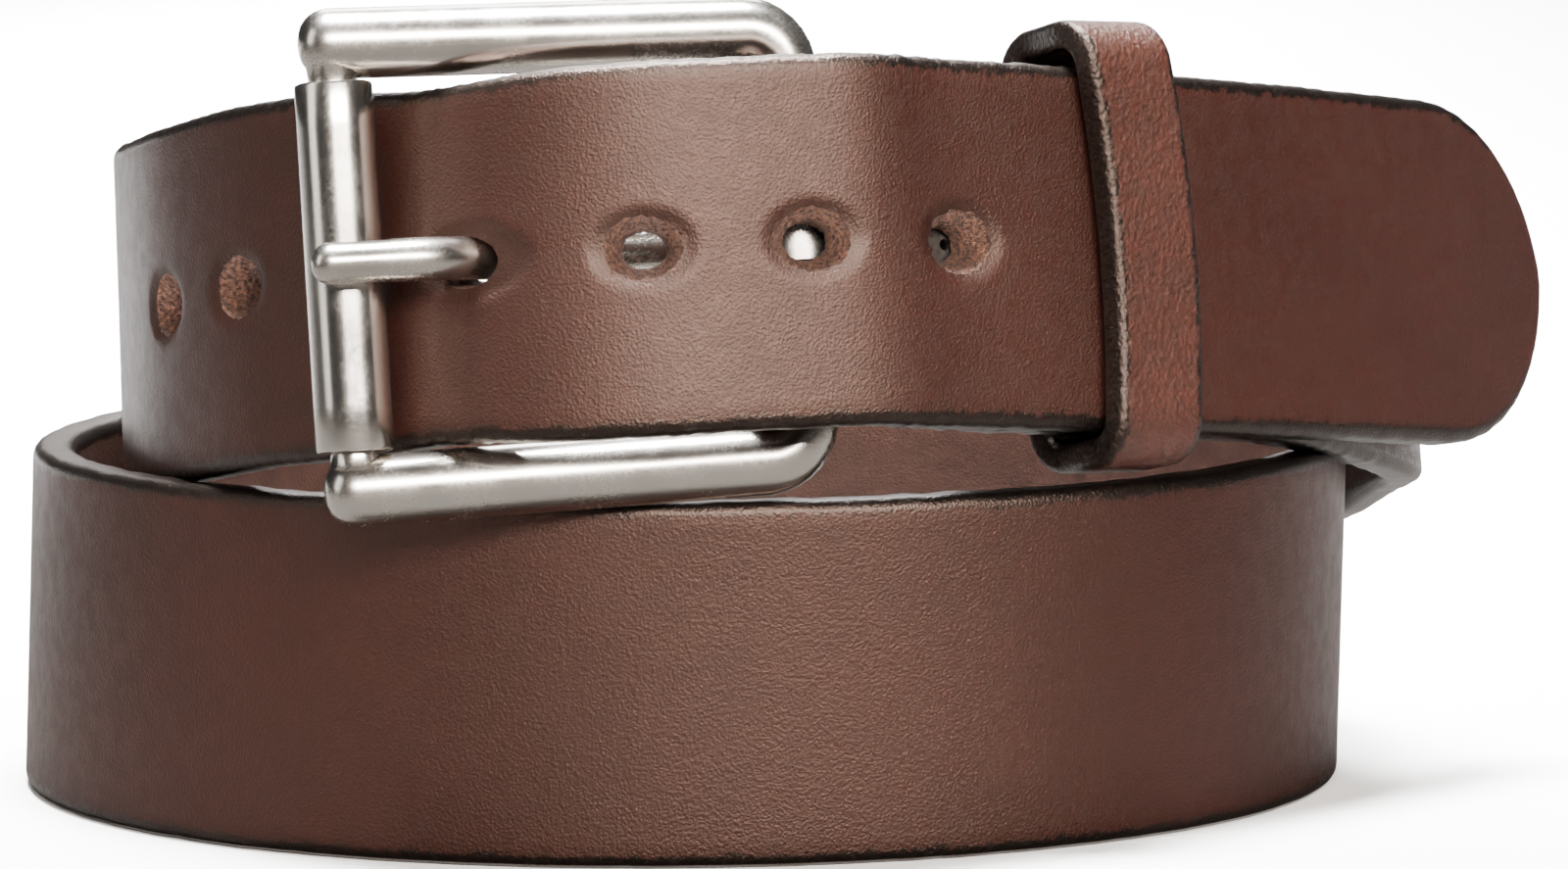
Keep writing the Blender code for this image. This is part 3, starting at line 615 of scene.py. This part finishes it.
def build_frame():
    """One bar bent into two arms and the heel bar, with the thin front bar joined between the arms."""
    line, radii = [], []
    inner = BUCKLE_REACH - CORNER_BEND
    slope = (ARM_AT_HEEL - ARM_AT_ROLLER) / BUCKLE_REACH
    turn = math.pi / 2 + math.atan(slope)
    for u in np.linspace(0, inner, 16):
        line.append((u, ARM_AT_ROLLER + slope * u))
        radii.append(ARM_RADIUS)
    top = ARM_AT_ROLLER + slope * inner
    for a in np.linspace(0, turn, 9)[1:]:
        line.append((inner + CORNER_BEND * math.sin(a), top - CORNER_BEND * (1 - math.cos(a))))
        radii.append(ARM_RADIUS + (HEEL_RADIUS - ARM_RADIUS) * a / turn)
    half = list(line)
    for w in np.linspace(half[-1][1], -half[-1][1], 12)[1:-1]:
        line.append((half[-1][0], w))
        radii.append(HEEL_RADIUS)
    line += [(u, -w) for u, w in reversed(half)]
    radii += radii[: len(half)][::-1]
    points = [buckle_point(u, 0.0, w) for u, w in line]
    dome = ARM_RADIUS * 0.92
    obj = mesh_object("buckle_metal", tube(points, radii, V_AXIS, 40, dome, dome))
    bar = [buckle_point(0.0, 0.0, w) for w in np.linspace(-ARM_AT_ROLLER, ARM_AT_ROLLER, 25)]
    flare = [FRONT_BAR_RADIUS + 0.9 * MM * max(0, abs(k - 12) / 12 * 6 - 5) ** 2 for k in range(25)]
    rod = mesh_object("front_rod", tube(bar, flare, V_AXIS, 28))
    return cut(obj, [rod], "UNION")


def lathe(profile, centre, axis, side, sides=64):
    """A ring turned from a closed (radius, height) profile."""
    across = np.cross(axis, side)
    rings = []
    for radius, height in profile:
        ring = []
        for k in range(sides):
            a = 2 * math.pi * k / sides
            turned_out = side * (radius * math.cos(a)) + across * (radius * math.sin(a))
            ring.append(centre + axis * height + turned_out)
        rings.append(ring)
    return loft(rings, closed=True)


def build_roller():
    """A plain tube with soft ends that rests on the lower arm."""
    low = -(ARM_AT_ROLLER - ARM_RADIUS) + GAP
    high = low + ROLLER_LENGTH
    soft = 0.35 * MM
    out, bore = ROLLER_RADIUS, ROLLER_BORE
    profile = [(bore, low), (out - soft, low), (out - 0.3 * soft, low + 0.3 * soft), (out, low + soft)]
    profile += [(out, h) for h in np.linspace(low, high, 9)[1:-1]]
    profile += [(out, high - soft), (out - 0.3 * soft, high - 0.3 * soft), (out - soft, high), (bore, high)]
    return mesh_object("roller_metal", lathe(profile, ROLLER, W_AXIS, U_AXIS))


def build_prong():
    """The prong: a rounded tip on the roller, a dip through the hole and a curl round the heel bar."""
    line = through([list(buckle_point(u * MM, v * MM)) for u, v in PRONG_ROUTE], 0.7 * MM)
    count = len(line)
    radii = [PRONG_RADIUS * (1.02 - 0.05 * math.exp(-(((k - 5) / 4) ** 2))) for k in range(count)]
    obj = mesh_object("prong_metal", tube(line, radii, W_AXIS, 32, PRONG_RADIUS))
    half, soft = PRONG_RING_WIDTH / 2, 0.5 * MM
    profile = [(PRONG_RING_IN, -half), (PRONG_RING_OUT - soft, -half), (PRONG_RING_OUT, -half + soft)]
    profile += [(PRONG_RING_OUT, half - soft), (PRONG_RING_OUT - soft, half), (PRONG_RING_IN, half)]
    curl = mesh_object("prong_curl", lathe(profile, HEEL, W_AXIS, U_AXIS, 48))
    return cut(obj, [curl], "UNION")


def build_keeper(strap):
    """A leather loop round both layers, its front band slightly bowed."""
    middle, straight, normal, upright = strap.before_fold(KEEPER_AT)
    run = straight * math.cos(KEEPER_TILT) - upright * math.sin(KEEPER_TILT)
    width = upright * math.cos(KEEPER_TILT) + straight * math.sin(KEEPER_TILT)
    front = STRAP_THICK / 2 + GAP + STRAP_THICK + KEEPER_CLEAR
    back = -STRAP_THICK / 2 - KEEPER_CLEAR
    top, bottom, r = KEEPER_TOP, -KEEPER_BOTTOM, KEEPER_CORNER
    arcs = (
        (front - r, top - r, 0),
        (back + r, top - r, 90),
        (back + r, bottom + r, 180),
        (front - r, bottom + r, 270),
    )
    loop = []
    for i, (n, w, start) in enumerate(arcs):
        for step in range(9):
            a = math.radians(start + step * 11.25)
            loop.append((n + r * math.cos(a), w + r * math.sin(a), math.cos(a), math.sin(a)))
        n2, w2, _ = arcs[(i + 1) % 4]
        a = math.radians(start + 90)
        first = np.array([n + r * math.cos(a), w + r * math.sin(a)])
        last = np.array([n2 + r * math.cos(a), w2 + r * math.sin(a)])
        for t in np.linspace(0, 1, 22 if i in (1, 3) else 6)[1:-1]:
            p = first + (last - first) * t
            loop.append((p[0], p[1], math.cos(a), math.sin(a)))
    rings, borders = [], []
    half, thick, soft = KEEPER_WIDTH / 2, KEEPER_THICK, 0.9 * MM
    turn = np.linspace(0, math.pi / 2, 5)
    flat = half - soft

    def corner(side, t, outside):
        """A point on a rounded edge of the band, with its distance from the border of each face."""
        along = side * (flat + soft * math.sin(t))
        if outside:
            return (along, thick - soft * (1 - math.cos(t)), -soft * t, -3 * MM)
        return (along, soft * (1 - math.cos(t)), -3 * MM, -soft * t)

    profile = [(t, thick, flat - abs(t), OFF_FACE) for t in np.linspace(-flat, flat, 15)]
    profile += [corner(1, t, True) for t in turn[1:]]
    profile += [corner(1, t, False) for t in turn[::-1]]
    profile += [(t, 0.0, OFF_FACE, flat - abs(t)) for t in np.linspace(flat, -flat, 5)[1:-1]]
    profile += [corner(-1, t, False) for t in turn]
    profile += [corner(-1, t, True) for t in turn[::-1][:-1]]
    for n, w, cn, cw in loop:
        frontness = float(smoothstep((n - back) / (front - back)))
        bow = (KEEPER_SHIFT + KEEPER_BOW * (w / (20 * MM)) ** 2) * frontness
        crown = 1 - 0.05 * abs(w / top) ** 2
        base = middle + normal * n + width * w + run * bow
        out = normal * cn + width * cw
        rings.append([base + out * (d * crown) + run * t for t, d, _, _ in profile])
        borders.append([(f / BORDER_UNIT, b / BORDER_UNIT) for _, _, f, b in profile])
    return mesh_object("keeper_leather", loft(rings, closed=True, labels={"border": borders}))


# ------------------------------------------------------------------ materials
def node_material(name):
    mat = bpy.data.materials.new(name)
    mat.use_nodes = True
    tree = mat.node_tree
    return mat, tree, tree.nodes["Principled BSDF"]


def add(tree, kind, **settings):
    node = tree.nodes.new(kind)
    for key, value in settings.items():
        setattr(node, key, value)
    return node


def noise(tree, coords, scale, detail=3.0, roughness=0.55):
    node = add(tree, "ShaderNodeTexNoise")
    node.inputs["Scale"].default_value = scale
    node.inputs["Detail"].default_value = detail
    node.inputs["Roughness"].default_value = roughness
    tree.links.new(coords, node.inputs["Vector"])
    return node.outputs["Fac"]


def remap(tree, value, low, high, to_low=0.0, to_high=1.0):
    node = add(tree, "ShaderNodeMapRange", interpolation_type="SMOOTHSTEP")
    node.inputs["From Min"].default_value = low
    node.inputs["From Max"].default_value = high
    node.inputs["To Min"].default_value = to_low
    node.inputs["To Max"].default_value = to_high
    tree.links.new(value, node.inputs["Value"])
    return node.outputs["Result"]


def math_node(tree, operation, a, b):
    node = add(tree, "ShaderNodeMath", operation=operation)
    for socket, value in zip(node.inputs, (a, b)):
        if isinstance(value, (int, float)):
            socket.default_value = value
        else:
            tree.links.new(value, socket)
    return node.outputs[0]


def weighted_sum(tree, a, share_a, b, share_b):
    first = math_node(tree, "MULTIPLY", a, share_a)
    return math_node(tree, "ADD", first, math_node(tree, "MULTIPLY", b, share_b))


def colour_sockets(node):
    return [s for s in node.inputs if s.type == "RGBA"]


def blend_colours(tree, factor, a, b):
    """Mixes two colours, each a tuple or a socket, by a factor socket."""
    node = add(tree, "ShaderNodeMix", data_type="RGBA")
    tree.links.new(factor, node.inputs[0])
    for socket, value in zip(colour_sockets(node), (a, b)):
        if isinstance(value, tuple):
            socket.default_value = (*value, 1.0)
        else:
            tree.links.new(value, socket)
    return [s for s in node.outputs if s.type == "RGBA"][0]


def blend_values(tree, factor, a, b):
    node = add(tree, "ShaderNodeMix", data_type="FLOAT")
    tree.links.new(factor, node.inputs[0])
    floats = [s for s in node.inputs if s.type == "VALUE"][1:]
    for socket, value in zip(floats, (a, b)):
        if isinstance(value, (int, float)):
            socket.default_value = value
        else:
            tree.links.new(value, socket)
    return [s for s in node.outputs if s.type == "VALUE"][0]


GRAIN = ((0.0150, 0.0026, 0.0014), (0.0080, 0.0012, 0.0006))
KEEPER_GRAIN = ((0.030, 0.0075, 0.0045), (0.0120, 0.0028, 0.0016))
BLACK_EDGE = (0.0012, 0.0010, 0.0009)
EDGE_SPECK = (0.0045, 0.0036, 0.0032)
RIM_BROWN = (0.010, 0.0025, 0.0015)
FLESH_SHADE = (0.016, 0.005, 0.0035)
RAW_FIBRE = ((0.020, 0.006, 0.003), (0.17, 0.070, 0.038))
# Painted shade: near-black cut fibres for the slot, post bores and seats, where the holes' fibres are tan.
CUT_FIBRE_PAINTED_SHADE = ((0.018, 0.009, 0.007), (0.05, 0.02, 0.012))
FLOOR_WHITE = ((0.90, 0.90, 0.90), (0.93, 0.93, 0.93))
CARD_GREY = ((0.03, 0.028, 0.026), (0.04, 0.037, 0.034))
SPECULAR_TINT = (1.0, 0.70, 0.58, 1.0)
FLESH_SIDE = (0.028, 0.009, 0.006)


def leather(name, colours, grain_scale, grain_depth, has_rims):
    """Brown grain face, black burnished edge with a ragged border, dark flesh side, dark hole rims."""
    mat, tree, shader = node_material(name)
    coords = add(tree, "ShaderNodeTexCoord").outputs["Object"]
    border = add(tree, "ShaderNodeUVMap", uv_map="border").outputs["UV"]
    parts = add(tree, "ShaderNodeSeparateXYZ")
    tree.links.new(border, parts.inputs[0])
    ragged = remap(tree, noise(tree, coords, 900.0, 4.0), 0.3, 0.7, -0.035, 0.035)
    front = math_node(tree, "ADD", parts.outputs[0], ragged)
    back = math_node(tree, "ADD", parts.outputs[1], ragged)
    face = remap(tree, front, -0.02, 0.035)
    flesh = remap(tree, back, 0.0, 0.08)

    cloud = remap(tree, noise(tree, coords, 55.0, 4.0), 0.35, 0.65)
    mottle = remap(tree, noise(tree, coords, 420.0, 5.0, 0.65), 0.32, 0.68)
    tone = weighted_sum(tree, cloud, 0.45, mottle, 0.55)
    pores = remap(tree, noise(tree, coords, 0.9 * grain_scale, 3.0), 0.38, 0.66)
    tone = weighted_sum(tree, tone, 0.55, pores, 0.45)
    brown = blend_colours(tree, tone, colours[1], colours[0])
    if has_rims:
        rim_parts = add(tree, "ShaderNodeSeparateXYZ")
        tree.links.new(add(tree, "ShaderNodeUVMap", uv_map="rim").outputs["UV"], rim_parts.inputs[0])
        rim = remap(tree, rim_parts.outputs[0], 0.35, 0.47, 0.95, 0.0)
        brown = blend_colours(tree, rim, brown, RIM_BROWN)
    specks = remap(tree, noise(tree, coords, 1500.0, 3.0), 0.45, 0.75)
    edge = blend_colours(tree, specks, BLACK_EDGE, EDGE_SPECK)
    rear = blend_colours(tree, mottle, FLESH_SHADE, FLESH_SIDE)
    colour = blend_colours(tree, face, blend_colours(tree, flesh, edge, rear), brown)
    tree.links.new(colour, shader.inputs["Base Color"])

    face_gloss = remap(tree, mottle, 0.0, 1.0, 0.48, 0.41)
    gloss = blend_values(tree, face, blend_values(tree, flesh, 0.30, 0.62), face_gloss)
    tree.links.new(gloss, shader.inputs["Roughness"])
    shader.inputs["Specular IOR Level"].default_value = 0.5
    shader.inputs["Specular Tint"].default_value = SPECULAR_TINT
    shader.inputs["Coat Weight"].default_value = 0.05
    shader.inputs["Coat Roughness"].default_value = 0.30

    pebble = add(tree, "ShaderNodeTexVoronoi", feature="SMOOTH_F1")
    pebble.inputs["Scale"].default_value = grain_scale
    pebble.inputs["Smoothness"].default_value = 0.6
    warp = add(tree, "ShaderNodeTexNoise")
    warp.inputs["Scale"].default_value = grain_scale * 0.35
    tree.links.new(coords, warp.inputs["Vector"])
    bent = add(tree, "ShaderNodeVectorMath", operation="MULTIPLY_ADD")
    tree.links.new(warp.outputs["Color"], bent.inputs[0])
    bent.inputs[1].default_value = (1.2 / grain_scale,) * 3
    tree.links.new(coords, bent.inputs[2])
    tree.links.new(bent.outputs[0], pebble.inputs["Vector"])
    fine = noise(tree, coords, grain_scale * 1.6, 5.0, 0.6)
    height = math_node(tree, "ADD", math_node(tree, "MULTIPLY", pebble.outputs["Distance"], 0.8), fine)
    relief = add(tree, "ShaderNodeBump")
    relief.inputs["Strength"].default_value = 1.0
    relief.inputs["Distance"].default_value = grain_depth
    tree.links.new(height, relief.inputs["Height"])
    tree.links.new(relief.outputs["Normal"], shader.inputs["Normal"])
    return mat


def raw_leather():
    """Torn tan fibres inside the punched holes."""
    mat, tree, shader = node_material("raw_leather")
    coords = add(tree, "ShaderNodeTexCoord").outputs["Object"]
    fibres = remap(tree, noise(tree, coords, 2200.0, 6.0, 0.7), 0.35, 0.65)
    tree.links.new(blend_colours(tree, fibres, *RAW_FIBRE), shader.inputs["Base Color"])
    shader.inputs["Roughness"].default_value = 0.85
    relief = add(tree, "ShaderNodeBump")
    relief.inputs["Strength"].default_value = 1.0
    relief.inputs["Distance"].default_value = 0.35 * MM
    tree.links.new(fibres, relief.inputs["Height"])
    tree.links.new(relief.outputs["Normal"], shader.inputs["Normal"])
    return mat


def dark_leather():
    """Cut edges of the slot, the post bores and the screw seats, in near-black fibres: painted shade for
    these cuts behind the tail and inside the fold, where the holes' cut fibres are tan.
    """
    mat, tree, shader = node_material("cut_leather_painted_shade")
    coords = add(tree, "ShaderNodeTexCoord").outputs["Object"]
    fibres = remap(tree, noise(tree, coords, 1400.0, 4.0), 0.35, 0.65)
    tree.links.new(blend_colours(tree, fibres, *CUT_FIBRE_PAINTED_SHADE), shader.inputs["Base Color"])
    shader.inputs["Roughness"].default_value = 0.7
    return mat


def nickel(name, tint, rough_low, rough_high):
    """Satin nickel: fine grain, faint scratches and slightly uneven polish."""
    mat, tree, shader = node_material(name)
    coords = add(tree, "ShaderNodeTexCoord").outputs["Object"]
    shader.inputs["Metallic"].default_value = 1.0
    patch = remap(tree, noise(tree, coords, 160.0, 4.0), 0.35, 0.65)
    shade = tuple(c * 0.95 for c in tint)
    tree.links.new(blend_colours(tree, patch, shade, tint), shader.inputs["Base Color"])
    speckle = noise(tree, coords, 2600.0, 3.0, 0.6)
    both = weighted_sum(tree, patch, 0.25, speckle, 0.75)
    tree.links.new(remap(tree, both, 0.25, 0.75, rough_low, rough_high), shader.inputs["Roughness"])
    scratch = add(tree, "ShaderNodeTexNoise")
    scratch.inputs["Scale"].default_value = 900.0
    scratch.inputs["Detail"].default_value = 4.0
    stretch = add(tree, "ShaderNodeMapping")
    stretch.inputs["Scale"].default_value = (1.0, 1.0, 0.12)
    tree.links.new(coords, stretch.inputs["Vector"])
    tree.links.new(stretch.outputs[0], scratch.inputs["Vector"])
    height = math_node(tree, "ADD", speckle, scratch.outputs["Fac"])
    relief = add(tree, "ShaderNodeBump")
    relief.inputs["Strength"].default_value = 0.12
    relief.inputs["Distance"].default_value = 0.008 * MM
    tree.links.new(height, relief.inputs["Height"])
    tree.links.new(relief.outputs["Normal"], shader.inputs["Normal"])
    return mat


def floor_material():
    mat, tree, shader = node_material("pale_floor")
    coords = add(tree, "ShaderNodeTexCoord").outputs["Object"]
    tone = remap(tree, noise(tree, coords, 3.0, 2.0), 0.3, 0.7)
    tree.links.new(blend_colours(tree, tone, *FLOOR_WHITE), shader.inputs["Base Color"])
    shader.inputs["Roughness"].default_value = 0.9
    return mat


def card_material():
    """A dark grey studio card that gives the metal its dark bands."""
    mat, tree, shader = node_material("dark_card")
    coords = add(tree, "ShaderNodeTexCoord").outputs["Object"]
    tone = remap(tree, noise(tree, coords, 8.0, 2.0), 0.3, 0.7)
    tree.links.new(blend_colours(tree, tone, *CARD_GREY), shader.inputs["Base Color"])
    shader.inputs["Roughness"].default_value = 0.9
    return mat


# ------------------------------------------------------------------ studio
def area_light(name, at, aim, size, power, colour=(1.0, 1.0, 1.0)):
    light = bpy.data.lights.new(name, "AREA")
    light.shape = "RECTANGLE"
    light.size, light.size_y = size
    light.energy = power
    light.color = colour
    obj = bpy.data.objects.new(name, light)
    obj.location = at
    obj.rotation_euler = (Vector(aim) - Vector(at)).to_track_quat("-Z", "Y").to_euler()
    bpy.context.scene.collection.objects.link(obj)
    return obj


def from_angles(azimuth, elevation, distance):
    """A place seen from the belt at an azimuth right of the front and an elevation above the floor."""
    a, e = math.radians(azimuth), math.radians(elevation)
    out = distance * math.cos(e)
    return (out * math.sin(a), -out * math.cos(a), distance * math.sin(e) + 0.05)


def build_studio():
    bm = bmesh.new()
    reach = 9.0
    corners = ((-reach, -3.0), (reach, -3.0), (reach, 14.0), (-reach, 14.0))
    bm.faces.new([bm.verts.new((x, y, 0.0)) for x, y in corners])
    floor = mesh_object("floor", bm)
    floor.data.materials.append(floor_material())

    world = bpy.data.worlds.new("studio")
    world.use_nodes = True
    world.node_tree.nodes["Background"].inputs["Color"].default_value = (1.0, 1.0, 1.0, 1.0)
    world.node_tree.nodes["Background"].inputs["Strength"].default_value = 0.035
    bpy.context.scene.world = world

    aim = (0.0, -0.06, 0.05)
    area_light("key", from_angles(14, 24, 1.5), aim, (1.15, 0.36), 82, (1.0, 0.92, 0.85))
    area_light("left_box", from_angles(-70, 20, 1.4), aim, (0.5, 0.9), 4, (1.0, 0.95, 0.9))
    back = area_light("back", (0.0, 1.0, 1.4), (0.0, 1.0, 0.0), (0.6, 2.2), 95)
    back.data.spread = math.radians(34)
    area_light("backdrop", (0.0, 3.4, 2.4), (0.0, 3.6, 0.0), (1.6, 2.4), 220)
    # The card is seen by reflections alone, so the white floor leaves no haze on the belt.
    flag = bmesh.new()
    sides = ((-1.8, -1.8), (1.8, -1.8), (1.8, 0.35), (-1.8, 0.35))
    flag.faces.new([flag.verts.new((x, y, 0.4 * MM)) for x, y in sides])
    card = mesh_object("dark_card", flag)
    card.data.materials.append(card_material())
    card.visible_camera = False
    card.visible_diffuse = False
    card.visible_shadow = False

    camera = bpy.data.cameras.new("camera")
    camera.lens = CAMERA_LENS
    camera.sensor_width = 36.0
    camera.clip_start = 0.05
    obj = bpy.data.objects.new("camera", camera)
    turn = Matrix.Rotation(-CAMERA_YAW, 4, "Z") @ Matrix.Rotation(math.pi / 2 - CAMERA_PITCH, 4, "X")
    place = Matrix.Translation(CAMERA_AT + Vector(COIL_CENTRE))
    obj.matrix_world = place @ turn @ Matrix.Rotation(CAMERA_ROLL, 4, "Z")
    bpy.context.scene.collection.objects.link(obj)
    bpy.context.scene.camera = obj


# ------------------------------------------------------------------ assembly
def main():
    raw, dark = raw_leather(), dark_leather()
    strap_leather = leather("chestnut_leather_look", GRAIN, 3000.0, 0.065 * MM, True)
    keeper_leather = leather("keeper_leather_look", KEEPER_GRAIN, 1500.0, 0.16 * MM, False)
    frame_metal = nickel("satin_nickel_look", (0.60, 0.565, 0.52), 0.20, 0.28)
    roller_metal = nickel("roller_nickel_look", (0.68, 0.645, 0.60), 0.18, 0.26)
    # Painted shade: the screws' nickel is made far darker than the buckle's to stand in for the shade
    # behind the tail, where the screws show through its holes.
    screw_metal_painted_shade = nickel("screw_nickel_painted_shade", (0.27, 0.25, 0.23), 0.26, 0.40)

    strap = Strap()
    holes = hole_distances(strap)
    belt = build_strap(strap, holes)
    belt.data.materials.append(strap_leather)
    cut_strap(belt, strap, holes, raw, dark)
    pieces = [
        (belt, None, "belt", "strap", "chestnut_leather"),
        (build_keeper(strap), keeper_leather, "keeper", "keeper", "keeper_leather"),
        (build_frame(), frame_metal, "buckle", "buckle_frame", "satin_nickel"),
        (build_roller(), roller_metal, "roller", "roller", "roller_nickel"),
        (build_prong(), frame_metal, "tongue", "prong", "satin_nickel"),
    ]
    for obj, mat, body, node, slot in pieces:
        if mat:
            obj.data.materials.clear()
            obj.data.materials.append(mat)
        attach(obj, body)
        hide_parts(node)
    for name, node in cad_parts.items():
        if "screw" in name:
            node.data.materials.clear()
            node.data.materials.append(screw_metal_painted_shade)
    build_studio()


main()
